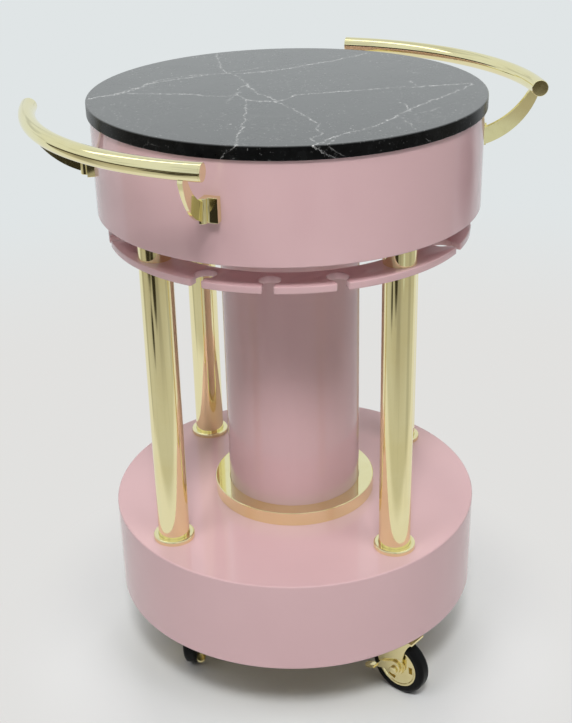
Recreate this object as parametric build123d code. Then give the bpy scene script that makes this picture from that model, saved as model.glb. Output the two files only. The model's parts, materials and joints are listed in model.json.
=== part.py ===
from build123d import *
import math
import os

# Champagne cart: a round stone slab on a lacquered drum, a stemware ring hung under the drum,
# four brass columns round a pedestal, a drum-shaped base, two bent tube handles on cast brackets,
# and four swivel casters with foot brakes.
# Millimetres, +Z up, origin on the floor under the middle. The front is -Y, the handles are at -X and +X.

# Layout in plan, measured from the circle that the column axes stand on
column_circle_radius = 255.0
sides = {"front": 270.0, "right": 0.0, "back": 90.0, "left": 180.0}
base_margin = 54.0
drum_margin = 45.0
ring_outer_margin = 31.0
ring_inner_margin = 26.0
caster_inset = 18.0
slab_overhang = 4.0
handle_standoff = 90.5

# Top
slab_thickness = 20.0
slab_ease = 1.6
drum_height = 152.0
drum_wall = 12.0
drum_ease = 2.0
underlay_thickness = 18.0
drum_floor_thickness = 18.0

# Stemware ring and its keyholes
ring_thickness = 11.0
ring_ease = 1.5
ring_drop = 33.5
keyhole_radius = 16.0
keyhole_margin = 3.0
keyhole_neck = 16.5
keyhole_step_angle = 21.5
keyholes_per_side = 3

# Columns and their tie rods
column_radius = 25.4
column_wall = 1.6
column_length = 477.8
collar_width = 8.1
collar_height = 8.0
collar_ease = 2.5
rod_radius = 6.0
rod_nut_flats = 19.0
rod_nut_height = 10.0
rod_washer_radius = 15.0
rod_washer_thickness = 2.5
rod_end = 4.0

# Pedestal
pedestal_radius = 112.3
pedestal_wall = 6.0
foot_ring_width = 25.0
foot_ring_height = 24.0
foot_ring_ease = 1.2
plug_thickness = 22.0
plug_screw_circle_radius = 70.0
plug_screw_count = 4
plug_screw_bite = 16.0

# Base
base_height = 159.0
base_wall = 12.0
base_ease = 2.5
base_top_thickness = 18.0
base_floor_thickness = 18.0
base_floor_recess = 2.6

# Handles
handle_tube_radius = 12.7
handle_tube_wall = 1.6
handle_rise = 9.5
handle_half_span_angle = 35.5
handle_cap_thickness = 2.5
handle_cap_ease = 0.8
handle_spigot_length = 8.0

# Handle brackets: a crescent arm on a foot that reaches to one side
bracket_inset_angle = 4.45
arm_splay_angle = 8.5
arm_thickness = 8.0
arm_draft_angle = 4.0
arm_upper_sagitta = 10.3
arm_lower_sagitta = 18.0
arm_upper_reach = 10.5
arm_upper_drop = 12.5
arm_lower_reach = 5.6
arm_lower_drop = 15.7
foot_drop = 61.0
foot_height = 36.0
foot_shoulder = 9.8
foot_width = 24.0
foot_depth = 11.0
boss_radius = 8.5
boss_offset = 1.5
boss_cove = 3.0
foot_ease = 1.0

# Screws that fasten the bracket feet, the casters and the pedestal plugs
screw_radius = 3.0
screw_head_flats = 10.0
screw_head_height = 4.0
bracket_screw_bite = 8.0
bracket_screw_edge = 6.5
caster_screw_bite = 15.0

# Casters
wheel_radius = 50.8
wheel_width = 24.0
tyre_shoulder = 7.0
tyre_lip_ease = 1.5
tyre_depth = 13.8
hub_rim_width = 23.0
hub_rim_depth = 3.0
hub_dish = 1.5
hub_web_width = 19.5
hub_boss_radius = 13.0
hub_slot_count = 3
hub_slot_angle = 245.0
hub_slot_length = 13.0
hub_slot_width = 7.0
hub_slot_circle_radius = 26.0
trail = 34.0
axle_radius = 4.0
axle_head_radius = 7.0
axle_head_height = 4.0
axle_head_ease = 2.0
crown_gap = 9.0
crown_thickness = 4.0
crown_radius = 30.0
leg_gap = 2.0
leg_thickness = 3.0
leg_end_radius = 13.5
leg_front_reach = 54.0
leg_knee_reach = 34.0
leg_knee_rise = 1.0
leg_back_reach = 32.0
leg_back_sagitta = 7.5
race_radius = 27.0
race_height = 9.6
plate_size = 80.0
plate_thickness = 3.0
plate_corner = 8.0
plate_screw_spacing = 60.0
king_pin_radius = 6.0
king_pin_head_radius = 11.0
king_pin_head_height = 6.0
caster_heading_angles = {"front": 281.0, "right": 228.0, "back": 102.0, "left": 42.0}

# Brake levers, drawn pressed down: a cam on the axle, an arm and a flat tongue for the foot
lever_thickness = 4.0
lever_hub_radius = 10.0
lever_drop_angle = 17.0
lever_underside = 1.0
cam_radius = 11.0
cam_rise = 5.0
cam_set_back = 1.5
shoulder_reach = 23.5
shoulder_height = 13.5
tongue_start = 38.0
tongue_reach = 60.0
tongue_width = 15.0
tongue_thickness = 4.5
tongue_gap = 1.3

# Clearances
panel_gap = 0.2
slip_gap = 0.15
screw_gap = 0.1
running_gap = 0.05
side_gap = 0.4
overcut = 1.0
match = 0.01

# Radii that follow
base_radius = column_circle_radius + base_margin
drum_radius = column_circle_radius + drum_margin
slab_radius = drum_radius + slab_overhang
ring_outer = column_circle_radius + ring_outer_margin
ring_inner = column_circle_radius - ring_inner_margin
keyhole_circle = column_circle_radius + keyhole_margin
caster_circle = column_circle_radius - caster_inset
handle_radius = drum_radius + handle_standoff
foot_ring_radius = pedestal_radius + foot_ring_width

# Heights that follow, from the floor up
crown_low = 2 * wheel_radius + crown_gap
crown_high = crown_low + crown_thickness
race_low = crown_high + side_gap
plate_low = race_low + race_height
caster_height = plate_low + plate_thickness
base_low = caster_height - base_floor_recess
base_high = base_low + base_height
base_top_low = base_high - base_top_thickness
ring_low = base_high + column_length
ring_high = ring_low + ring_thickness
drum_low = ring_high + ring_drop
drum_floor_high = drum_low + drum_floor_thickness
drum_high = drum_low + drum_height
slab_high = drum_high + slab_thickness
handle_height = drum_high + handle_rise
foot_high = handle_height - foot_drop
foot_low = foot_high - foot_height

# Places on the handles and the casters that follow
arm_side = drum_radius * math.sin(math.radians(arm_splay_angle))
arm_length = math.sqrt(handle_radius ** 2 - arm_side ** 2) - math.sqrt(drum_radius ** 2 - arm_side ** 2)
tip_side = arm_length * math.sin(math.radians(arm_splay_angle))
arm_turn_angle = math.degrees(math.asin(tip_side / handle_radius))
root_angle = handle_half_span_angle - bracket_inset_angle - arm_turn_angle
arm_offset = foot_width / 2
foot_turn_angle = math.degrees(math.asin(arm_offset / drum_radius))
cap_angle = math.degrees(handle_cap_thickness / handle_radius)
hub_radius = wheel_radius - tyre_depth
leg_inner = wheel_width / 2 + leg_gap
leg_outer = leg_inner + leg_thickness
lever_inner = leg_outer + side_gap
lever_outer = lever_inner + lever_thickness
axle_nut_low = lever_outer + side_gap
hub_half_length = leg_inner - side_gap

on_base = (Align.CENTER, Align.CENTER, Align.MIN)
from_axis = (Align.MIN, Align.CENTER, Align.MIN)


def polar(radius, angle, height=0.0):
    turn = math.radians(angle)
    return Pos(radius * math.cos(turn), radius * math.sin(turn), height)


def disc(radius, low, high):
    return Pos(0, 0, low) * Cylinder(radius, high - low, align=on_base)


def pipe(outer, inner, low, high):
    return disc(outer, low, high) - disc(inner, low, high)


def turned(corners):
    # solid of revolution about Z through (radius, height) corners
    outline = Polyline([(radius, 0, height) for radius, height in corners], close=True)
    return revolve(make_face(outline), Axis.Z)


def ease(solid, radius, height, size):
    # rounds the circular edge of that radius at that height
    rims = []
    for edge in solid.edges().filter_by(GeomType.CIRCLE):
        if abs(edge.radius - radius) < match and abs(edge.arc_center.Z - height) < match:
            rims.append(edge)
    return fillet(rims, size)


def hexagon(flats, low, high):
    outline = RegularPolygon(radius=flats / 2, side_count=6, major_radius=False)
    return Pos(0, 0, low) * extrude(outline, high - low)


def save(name, *shapes):
    solids = [solid for shape in shapes for solid in shape.solids()]
    group = solids[0] if len(solids) == 1 else Compound(solids)
    export_step(group, os.path.join("parts", name + ".step"))


def rod_hole(angle, low, high):
    return polar(column_circle_radius, angle) * disc(rod_radius + screw_gap, low - overcut, high + overcut)


def plug_screw_places():
    return [360.0 / plug_screw_count * (index + 0.5) for index in range(plug_screw_count)]


def plug_screw_hole(angle, low, high):
    return polar(plug_screw_circle_radius, angle) * disc(screw_radius + screw_gap, low, high)


def screw(length):
    # hexagon head below Z = 0, shank above it
    return hexagon(screw_head_flats, -screw_head_height, 0) + disc(screw_radius, 0, length)


# Top: slab, the panel under it, drum shell and drum floor

def marble_top():
    slab = disc(slab_radius, drum_high, slab_high)
    slab = ease(slab, slab_radius, slab_high, slab_ease)
    return ease(slab, slab_radius, drum_high, slab_ease)


def top_underlay():
    return disc(drum_radius - drum_wall - panel_gap, drum_high - underlay_thickness, drum_high)


def bracket_screw_places():
    # offset along the drum, and height, of the two screws in each foot
    height = foot_high - foot_height / 2
    return [(boss_offset - arm_offset, height), (foot_width - bracket_screw_edge - arm_offset, height)]


def bracket_screw_axis(angle, offset, height):
    # local +Z runs outwards along the bracket's own radial direction
    return Rot(0, 0, angle) * Pos(0, offset, height) * Rot(0, 90, 0)


def bracket_places():
    # azimuth of the middle of each foot, and which way its arm leans along the drum
    places = {}
    for side, lean in (("left", 1), ("right", -1)):
        places[side + "_front"] = (sides[side] + lean * root_angle + foot_turn_angle, lean)
        places[side + "_back"] = (sides[side] - lean * root_angle + foot_turn_angle, -lean)
    return places


def bracket_screw_hole():
    # through the drum wall and into the foot
    return disc(screw_radius + screw_gap, drum_radius - 2 * drum_wall, drum_radius + bracket_screw_bite)


def drum_shell():
    shell = pipe(drum_radius, drum_radius - drum_wall, drum_low, drum_high)
    shell = ease(shell, drum_radius, drum_low, drum_ease)
    for angle, _ in bracket_places().values():
        for offset, height in bracket_screw_places():
            shell -= bracket_screw_axis(angle, offset, height) * bracket_screw_hole()
    return shell


def drum_floor():
    floor = disc(drum_radius - drum_wall - panel_gap, drum_low, drum_floor_high)
    for angle in sides.values():
        floor -= rod_hole(angle, drum_low, drum_floor_high)
    for angle in plug_screw_places():
        floor -= plug_screw_hole(angle, drum_low - overcut, drum_floor_high + overcut)
    return floor


# Stemware ring: stems slide in from the rim and the feet of the glasses rest on it

def stemware_ring():
    ring = pipe(ring_outer, ring_inner, ring_low, ring_high)
    for height in (ring_low, ring_high):
        ring = ease(ring, ring_outer, height, ring_ease)
        ring = ease(ring, ring_inner, height, ring_ease)
    depth = ring_thickness + 2 * overcut
    neck = Box(ring_outer - keyhole_circle + overcut, keyhole_neck, depth, align=from_axis)
    hole = Cylinder(keyhole_radius, depth, align=on_base)
    keyhole = Pos(keyhole_circle, 0, ring_low - overcut) * (hole + neck)
    between_columns = 180.0 / len(sides)
    middle = (keyholes_per_side - 1) / 2
    for angle in sides.values():
        ring -= rod_hole(angle, ring_low, ring_high)
        for index in range(keyholes_per_side):
            ring -= Rot(0, 0, angle + between_columns + (index - middle) * keyhole_step_angle) * keyhole
    return ring


# Columns: tubes clamped on tie rods between the base, the ring and the drum floor

def column_tube(angle, low, high):
    return polar(column_circle_radius, angle) * pipe(column_radius, column_radius - column_wall, low, high)


def collar(angle):
    outer = column_radius + collar_width
    high = base_high + collar_height
    ring = pipe(outer, column_radius + slip_gap, base_high, high)
    return polar(column_circle_radius, angle) * ease(ring, outer, high, collar_ease)


def rod_reach():
    stack = rod_washer_thickness + rod_nut_height + rod_end
    return base_top_low - stack, drum_floor_high + stack


def tie_rod(angle):
    low, high = rod_reach()
    return polar(column_circle_radius, angle) * disc(rod_radius, low, high)


def rod_nuts(angle):
    # washer and nut under the base top, and on the drum floor
    bore = rod_radius + screw_gap
    below = base_top_low - rod_washer_thickness
    above = drum_floor_high + rod_washer_thickness
    pieces = [
        pipe(rod_washer_radius, bore, below, base_top_low),
        pipe(rod_washer_radius, bore, drum_floor_high, above),
        hexagon(rod_nut_flats, below - rod_nut_height, below) - disc(bore, below - rod_nut_height, below),
        hexagon(rod_nut_flats, above, above + rod_nut_height) - disc(bore, above, above + rod_nut_height),
    ]
    return [polar(column_circle_radius, angle) * piece for piece in pieces]


# Pedestal: a plain tube on plugs, with a flat brass ring round its foot

def pedestal_tube():
    return pipe(pedestal_radius, pedestal_radius - pedestal_wall, base_high, drum_low)


def pedestal_ring():
    high = base_high + foot_ring_height
    ring = pipe(foot_ring_radius, pedestal_radius + slip_gap, base_high, high)
    return ease(ring, foot_ring_radius, high, foot_ring_ease)


def pedestal_plug(low, high):
    plug = disc(pedestal_radius - pedestal_wall - panel_gap, low, high)
    for angle in plug_screw_places():
        plug -= plug_screw_hole(angle, low - overcut, high + overcut)
    return plug


def plug_screws():
    lower = screw(base_top_thickness + plug_screw_bite)
    upper = Rot(180, 0, 0) * screw(drum_floor_thickness + plug_screw_bite)
    screws = []
    for angle in plug_screw_places():
        screws.append(polar(plug_screw_circle_radius, angle, base_top_low) * lower)
        screws.append(polar(plug_screw_circle_radius, angle, drum_floor_high) * upper)
    return screws


# Base: top, shell and a recessed floor that the casters are screwed to

def base_top():
    top = disc(base_radius, base_top_low, base_high)
    top = ease(top, base_radius, base_high, base_ease)
    for angle in sides.values():
        top -= rod_hole(angle, base_top_low, base_high)
    for angle in plug_screw_places():
        top -= plug_screw_hole(angle, base_top_low - overcut, base_high + overcut)
    return top


def base_shell():
    shell = pipe(base_radius, base_radius - base_wall, base_low, base_top_low)
    return ease(shell, base_radius, base_low, base_ease)


def plate_screw_places():
    half = plate_screw_spacing / 2
    return [(x, y) for x in (-half, half) for y in (-half, half)]


def base_floor():
    floor = disc(base_radius - base_wall - panel_gap, caster_height, caster_height + base_floor_thickness)
    hole_high = caster_height + caster_screw_bite + overcut
    hole = disc(screw_radius + screw_gap, caster_height - overcut, hole_high)
    for angle in sides.values():
        for x, y in plate_screw_places():
            floor -= Rot(0, 0, angle) * Pos(caster_circle + x, y, 0) * hole
    return floor


# Handles: bent tubes with flat capped ends

def handle_bar(outer, inner, half_span):
    # arc of tube about Z, centred on +X
    section = Circle(outer) - Circle(inner) if inner else Circle(outer)
    placed = Plane.XZ * Pos(handle_radius, handle_height) * section
    return Rot(0, 0, -half_span) * revolve(placed, Axis.Z, 2 * half_span)


def handle_tube(angle):
    bore = handle_tube_radius - handle_tube_wall
    return Rot(0, 0, angle) * handle_bar(handle_tube_radius, bore, handle_half_span_angle - cap_angle)


def handle_cap(angle, sign):
    # a disc that closes the tube, with a spigot inside it
    cap = disc(handle_tube_radius, 0, handle_cap_thickness)
    cap = ease(cap, handle_tube_radius, handle_cap_thickness, handle_cap_ease)
    spigot_radius = handle_tube_radius - handle_tube_wall - panel_gap
    cap += disc(spigot_radius, -handle_spigot_length, 0)
    end = angle + sign * (handle_half_span_angle - cap_angle)
    return Rot(0, 0, end) * Pos(handle_radius, 0, handle_height) * Rot(-90 * sign, 0, 0) * cap


# Handle brackets, drawn with the middle of the foot at azimuth 0: +X outwards, +Y along the drum

def bracket_arm(lean):
    # profile in the arm's own upright plane: distance from the drum, and height
    upper_start = (0, foot_high - foot_shoulder)
    upper_end = (arm_length - arm_upper_reach, handle_height - arm_upper_drop)
    lower_start = (0, foot_low)
    lower_end = (arm_length + arm_lower_reach, handle_height - arm_lower_drop)
    tube_middle = (arm_length, handle_height)
    root_low = (-arm_thickness, foot_low)
    root_high = (-arm_thickness, foot_high - foot_shoulder)
    outline = [
        SagittaArc(upper_start, upper_end, -arm_upper_sagitta),
        Line(upper_end, tube_middle),
        Line(tube_middle, lower_end),
        SagittaArc(lower_end, lower_start, arm_lower_sagitta),
        Polyline(lower_start, root_low, root_high, upper_start),
    ]
    arm = extrude(Plane.XZ * make_face(outline), arm_thickness, both=True)
    # both flat sides lean, so that the arm is thicker along its upper edge
    start = ((upper_start[0] + lower_start[0]) / 2, (upper_start[1] + lower_start[1]) / 2)
    end = ((upper_end[0] + lower_end[0]) / 2, (upper_end[1] + lower_end[1]) / 2)
    slope = math.degrees(math.atan2(end[1] - start[1], end[0] - start[0]))
    chord = Pos(start[0], 0, start[1]) * Rot(0, -slope, 0)
    reach = 4 * arm_length
    for sign, beyond in ((1, Align.MIN), (-1, Align.MAX)):
        waste = Box(reach, reach, reach, align=(Align.CENTER, beyond, Align.CENTER))
        arm -= chord * Pos(0, sign * arm_thickness / 2, 0) * Rot(-sign * arm_draft_angle, 0, 0) * waste
    root = Pos(math.sqrt(drum_radius ** 2 - arm_offset ** 2), -arm_offset, 0)
    return root * Rot(0, 0, lean * arm_splay_angle - foot_turn_angle) * arm


def bracket_foot():
    face = drum_radius + foot_depth
    plate = Pos(face, -arm_offset) * Rectangle(2 * foot_depth, foot_width, align=(Align.MAX, Align.MIN))
    boss_middle = boss_offset - arm_offset
    boss = Circle(boss_radius) & Pos(0, -boss_offset) * Rectangle(
        2 * boss_radius, 2 * boss_radius + boss_offset, align=(Align.CENTER, Align.MIN))
    plan = plate + Pos(face, boss_middle) * boss
    corner = Vector(face, boss_middle + boss_radius, 0)
    plan = fillet(plan.vertices().sort_by_distance(corner)[0], boss_cove)
    foot = Pos(0, 0, foot_low) * extrude(plan, foot_height)
    return fillet(foot.edges().group_by(Axis.Z)[0] + foot.edges().group_by(Axis.Z)[-1], foot_ease)


def bracket(angle, lean):
    solid = bracket_foot() + bracket_arm(lean)
    solid -= disc(drum_radius, foot_low - foot_height, handle_height)
    solid -= handle_bar(handle_tube_radius, 0, handle_half_span_angle)
    for offset, height in bracket_screw_places():
        solid -= bracket_screw_axis(0, offset, height) * bracket_screw_hole()
    return Rot(0, 0, angle) * solid


def bracket_screws(angle):
    # heads sit against the inside of the drum wall
    screws = []
    for offset, height in bracket_screw_places():
        inside = math.sqrt((drum_radius - drum_wall) ** 2 - (abs(offset) + screw_head_flats) ** 2)
        length = drum_radius + bracket_screw_bite - overcut - inside
        screws.append(bracket_screw_axis(angle, offset, height) * Pos(0, 0, inside) * screw(length))
    return screws


# Casters, drawn with the swivel axis on Z and the wheel trailing towards +X; the lever is at -Y

def along_axle(shape):
    # turns a shape drawn about Z onto the axle, with its +Z towards the lever
    return Pos(trail, 0, wheel_radius) * Rot(90, 0, 0) * shape


def caster_plate():
    outline = fillet(Rectangle(plate_size, plate_size).vertices(), plate_corner)
    plate = Pos(0, 0, plate_low) * extrude(outline, plate_thickness)
    plate += disc(race_radius, race_low, plate_low)
    plate -= disc(king_pin_radius + screw_gap, race_low - overcut, caster_height + overcut)
    for x, y in plate_screw_places():
        plate -= Pos(x, y, 0) * disc(screw_radius + screw_gap, plate_low - overcut, caster_height + overcut)
    return plate


def king_pin():
    head_high = crown_low - side_gap
    return disc(king_pin_radius, head_high, caster_height) + disc(
        king_pin_head_radius, head_high - king_pin_head_height, head_high)


def plate_screws():
    length = plate_thickness + caster_screw_bite
    return [Pos(x, y, plate_low) * screw(length) for x, y in plate_screw_places()]


def fork_leg(low_side):
    top_front = (trail - leg_front_reach, crown_high)
    top_back = (trail + leg_back_reach, crown_high)
    axle_back = (trail + leg_end_radius, wheel_radius)
    axle_low = (trail, wheel_radius - leg_end_radius)
    knee = (trail - leg_knee_reach, wheel_radius + leg_knee_rise)
    outline = [
        Line(top_front, top_back),
        SagittaArc(top_back, axle_back, -leg_back_sagitta),
        Polyline(axle_back, axle_low, knee, top_front),
    ]
    face = make_face(outline) + Pos(trail, wheel_radius) * Circle(leg_end_radius)
    return Pos(0, low_side + leg_thickness, 0) * extrude(Plane.XZ * face, leg_thickness)


def caster_fork():
    bridge_length = trail + leg_back_reach
    bridge = Pos(0, 0, crown_low) * Box(bridge_length, 2 * leg_outer, crown_thickness, align=from_axis)
    fork = disc(crown_radius, crown_low, crown_high) + bridge
    for low_side in (leg_inner, -leg_outer):
        fork += fork_leg(low_side)
    fork -= disc(king_pin_radius + running_gap, crown_low - overcut, crown_high + overcut)
    return fork - along_axle(disc(axle_radius + screw_gap, -leg_outer - overcut, leg_outer + overcut))


def axle_pieces():
    # bolt with its head on the far leg, and a cap nut outside the lever
    nut_high = axle_nut_low + axle_head_height
    head = disc(axle_head_radius, -leg_outer - axle_head_height, -leg_outer)
    head = ease(head, axle_head_radius, -leg_outer - axle_head_height, axle_head_ease)
    bolt = head + disc(axle_radius, -leg_outer, axle_nut_low)
    nut = disc(axle_head_radius, axle_nut_low, nut_high)
    nut = ease(nut, axle_head_radius, nut_high, axle_head_ease)
    return [along_axle(bolt), along_axle(nut)]


def wheel_hub():
    bore = axle_radius + running_gap
    rim_half = hub_rim_width / 2
    web_half = hub_web_width / 2
    rim_inner = hub_radius - hub_rim_depth
    one_side = [
        (bore, hub_half_length),
        (hub_boss_radius, hub_half_length),
        (hub_boss_radius + hub_dish, web_half),
        (rim_inner - hub_dish, web_half),
        (rim_inner, rim_half),
        (hub_radius, rim_half),
    ]
    other_side = [(radius, -side) for radius, side in reversed(one_side)]
    hub = turned(one_side + other_side)
    slot = Box(hub_slot_width, hub_slot_length, hub_rim_width)
    for index in range(hub_slot_count):
        turn = hub_slot_angle + 360.0 / hub_slot_count * index
        hub -= Rot(0, 0, turn) * Pos(hub_slot_circle_radius, 0, 0) * slot
    return along_axle(hub)


def tyre():
    section = Pos(hub_radius, 0) * Rectangle(tyre_depth, wheel_width, align=(Align.MIN, Align.CENTER))
    section = fillet(section.vertices().group_by(Axis.X)[-1], tyre_shoulder)
    section = fillet(section.vertices().group_by(Axis.X)[0], tyre_lip_ease)
    return along_axle(revolve(Plane.XZ * section, Axis.Z))


def brake_lever():
    # drawn level, pointing towards -X from the axle, then dropped to its pressed place
    tongue_top = tongue_thickness - lever_underside
    tip_middle = tongue_reach - tongue_width / 2
    outline = Polyline([
        (cam_set_back, cam_rise + cam_radius),
        (-shoulder_reach, shoulder_height),
        (-tongue_start, tongue_top),
        (-tip_middle, tongue_top),
        (-tip_middle, -lever_underside),
        (0, -lever_underside),
    ], close=True)
    face = make_face(outline) + Circle(lever_hub_radius) + Pos(cam_set_back, cam_rise) * Circle(cam_radius)
    plate = Pos(0, -lever_inner, 0) * extrude(Plane.XZ * face, lever_thickness)
    tongue_plan = Pos(-tip_middle, 0) * Circle(tongue_width / 2)
    tongue_plan += Pos(-tip_middle, 0) * Rectangle(
        tip_middle - tongue_start, tongue_width, align=(Align.MIN, Align.CENTER))
    tongue_middle = wheel_width / 2 + tongue_gap + tongue_width / 2
    tongue = Pos(0, -tongue_middle, -lever_underside) * extrude(tongue_plan, tongue_thickness)
    lever = plate + tongue
    lever -= Rot(90, 0, 0) * disc(axle_radius + running_gap, lever_inner - overcut, lever_outer + overcut)
    return Pos(trail, 0, wheel_radius) * Rot(0, -lever_drop_angle, 0) * lever


def placed_caster(side, shape):
    return polar(caster_circle, sides[side]) * Rot(0, 0, caster_heading_angles[side]) * shape


def placed_plate(side, shape):
    return polar(caster_circle, sides[side]) * Rot(0, 0, sides[side]) * shape


os.makedirs("parts", exist_ok=True)

save("marble_top", marble_top())
save("top_underlay", top_underlay())
save("drum_shell", drum_shell())
save("drum_floor", drum_floor())
save("stemware_ring", stemware_ring())
save("pedestal_tube", pedestal_tube())
save("pedestal_ring", pedestal_ring())
lower_plug = pedestal_plug(base_high, base_high + plug_thickness)
upper_plug = pedestal_plug(drum_low - plug_thickness, drum_low)
save("pedestal_plugs", lower_plug, upper_plug)
save("plug_screws", *plug_screws())
save("base_top", base_top())
save("base_shell", base_shell())
save("base_floor", base_floor())

for side, angle in sides.items():
    save("column_" + side, column_tube(angle, base_high, ring_low))
    save("spacer_" + side, column_tube(angle, ring_high, drum_low))
    save("collar_" + side, collar(angle))
save("tie_rods", *[tie_rod(angle) for angle in sides.values()])
save("tie_rod_nuts", *[piece for angle in sides.values() for piece in rod_nuts(angle)])

for side in ("left", "right"):
    save(side + "_handle_tube", handle_tube(sides[side]))
save("handle_end_caps", *[handle_cap(sides[side], sign) for side in ("left", "right") for sign in (1, -1)])
for corner, (angle, lean) in bracket_places().items():
    save("bracket_" + corner, bracket(angle, lean))
save("bracket_screws", *[piece for angle, _ in bracket_places().values() for piece in bracket_screws(angle)])

for side in sides:
    save("caster_plate_" + side, placed_plate(side, caster_plate()))
    save("caster_fork_" + side, placed_caster(side, caster_fork()))
    save("caster_axle_" + side, *[placed_caster(side, piece) for piece in axle_pieces()])
    save("wheel_hub_" + side, placed_caster(side, wheel_hub()))
    save("tyre_" + side, placed_caster(side, tyre()))
    save("brake_lever_" + side, placed_caster(side, brake_lever()))
save("caster_king_pins", *[placed_plate(side, king_pin()) for side in sides])
save("caster_screws", *[placed_plate(side, piece) for side in sides for piece in plate_screws()])
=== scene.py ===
import bmesh
import bpy
import json
import math
from mathutils import Matrix, Vector


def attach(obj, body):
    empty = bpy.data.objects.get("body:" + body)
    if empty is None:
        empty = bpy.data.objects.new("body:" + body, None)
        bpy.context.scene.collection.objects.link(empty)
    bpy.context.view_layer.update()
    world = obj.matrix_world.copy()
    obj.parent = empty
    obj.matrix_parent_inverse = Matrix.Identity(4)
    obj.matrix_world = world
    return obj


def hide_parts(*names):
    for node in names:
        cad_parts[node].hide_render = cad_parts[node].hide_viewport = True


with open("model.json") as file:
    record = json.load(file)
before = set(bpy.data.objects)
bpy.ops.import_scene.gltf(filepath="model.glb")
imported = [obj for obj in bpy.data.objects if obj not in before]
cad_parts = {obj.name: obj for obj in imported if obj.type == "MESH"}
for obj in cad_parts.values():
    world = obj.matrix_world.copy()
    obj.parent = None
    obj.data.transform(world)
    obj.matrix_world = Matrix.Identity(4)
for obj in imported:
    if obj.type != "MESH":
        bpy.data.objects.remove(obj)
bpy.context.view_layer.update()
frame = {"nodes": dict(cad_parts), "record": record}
mm = 0.001  # pieces are written in millimetres
sides = {"front": 270, "right": 0, "back": 90, "left": 180}  # azimuth of each column and caster
print("frame loaded:", len(frame["nodes"]), "nodes")


def span(node):  # lowest and highest point of a solid, in millimetres
    heights = [vert.co.z / mm for vert in frame["nodes"][node].data.vertices]
    return min(heights), max(heights)


class Wire:  # a socket that can stand in a sum
    def __init__(self, web, socket):
        self.web, self.socket = web, socket

    def maths(self, operation, *values):
        return self.web.node("ShaderNodeMath", {"operation": operation}, values)

    def __add__(self, other):
        return self.maths("ADD", self, other)

    def __radd__(self, other):
        return self.maths("ADD", other, self)

    def __sub__(self, other):
        return self.maths("SUBTRACT", self, other)

    def __rsub__(self, other):
        return self.maths("SUBTRACT", other, self)

    def __mul__(self, other):
        return self.maths("MULTIPLY", self, other)

    def __rmul__(self, other):
        return self.maths("MULTIPLY", other, self)

    def __truediv__(self, other):
        return self.maths("DIVIDE", self, other)

    def __abs__(self):
        return self.maths("ABSOLUTE", self)

    def most(self, other):
        return self.maths("MAXIMUM", self, other)

    def out(self, name):
        return Wire(self.web, self.socket.node.outputs[name])


class Web:  # the nodes of one material, or of the world
    def __init__(self, owner):
        owner.use_nodes = True
        self.tree = owner.node_tree
        self.tree.nodes.clear()

    def node(self, kind, settings=None, sockets=()):
        made = self.tree.nodes.new(kind)
        for key, value in (settings or {}).items():
            if key == "stops":
                ramp = made.color_ramp.elements
                for stop in value[2:]:
                    ramp.new(stop[0])
                for element, stop in zip(ramp, value):
                    element.position, element.color = stop
            elif key == "bends":
                points = made.mapping.curves[0].points
                for spot in value[2:]:
                    points.new(*spot)
                for point, spot in zip(points, value):
                    point.location = spot
                    point.handle_type = "AUTO_CLAMPED"
                made.mapping.update()
            else:
                setattr(made, key, value)
        pairs = sockets.items() if isinstance(sockets, dict) else enumerate(sockets)
        for key, value in pairs:
            if isinstance(value, Wire):
                self.tree.links.new(value.socket, made.inputs[key])
            else:
                made.inputs[key].default_value = value
        return Wire(self, made.outputs[0]) if made.outputs else made

    def vector(self, operation, *values):
        return self.node("ShaderNodeVectorMath", {"operation": operation}, values)

    def place(self):
        return self.node("ShaderNodeTexCoord").out("Object")

    def split(self, place):
        return self.node("ShaderNodeSeparateXYZ", None, [place])

    def stretched(self, place, scale):
        return self.vector("MULTIPLY", place, scale)

    def shifted(self, place, wander, reach):  # moves a place about by a noise's colour
        step = self.vector("SUBTRACT", wander, (0.5, 0.5, 0.5))
        step = self.node("ShaderNodeVectorMath", {"operation": "SCALE"}, {0: step, "Scale": reach})
        return self.vector("ADD", place, step)

    def far(self, place, middle=(0, 0, 0)):  # how far a place is from a middle
        return self.vector("DISTANCE", place, middle).out("Value")

    def noise(self, place, scale, detail, rough):
        return self.node("ShaderNodeTexNoise", None,
                         {"Vector": place, "Scale": scale, "Detail": detail, "Roughness": rough})

    def steps(self, value, low, high, start=0.0, end=1.0):  # smooth step from low to high
        return self.node("ShaderNodeMapRange", {"interpolation_type": "SMOOTHSTEP"},
                         [value, low, high, start, end])

    def fades(self, value, low, high):  # the same, from full to none
        return self.steps(value, low, high, 1.0, 0.0)

    def blend(self, share, first, second):  # colours
        made = self.node("ShaderNodeMix", {"data_type": "RGBA"}, {0: share, 6: first, 7: second})
        return Wire(self, made.socket.node.outputs[2])

    def bump(self, height, strength, distance):
        return self.node("ShaderNodeBump", None,
                         {"Strength": strength, "Distance": distance, "Height": height})

    def close(self, shader, ending="ShaderNodeOutputMaterial"):
        self.node(ending, None, [shader])


def rgb(red, green, blue):
    return (red, green, blue, 1.0)


def newFinish(name):
    material = bpy.data.materials.new(name)
    return material, Web(material)


# In the looks below a noise is its scale, detail and roughness, a bump its strength and depth in metres,
# and Edges are the values between which a smooth step runs
lacquerLook = {
    "pink": rgb(0.655, 0.437, 0.450),
    "deep": rgb(0.635, 0.418, 0.432),
    "cloud": (4.0, 3.0, 0.5),
    "cloudEdges": (0.3, 0.7),
    "roughness": 0.045,
    "wipe": (26.0, 4.0, 0.6),  # smears of a cloth
    "wipeStretch": (1, 1, 0.35),
    "wipeRough": 0.04,
    "grain": (1400.0, 1.0, 0.5),
    "grainRough": 0.02,
    "peel": (190.0, 2.0, 0.5),  # the slight orange peel of sprayed lacquer
    "peelBump": (0.25, 0.00012),
    "ior": 1.5,
}


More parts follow.
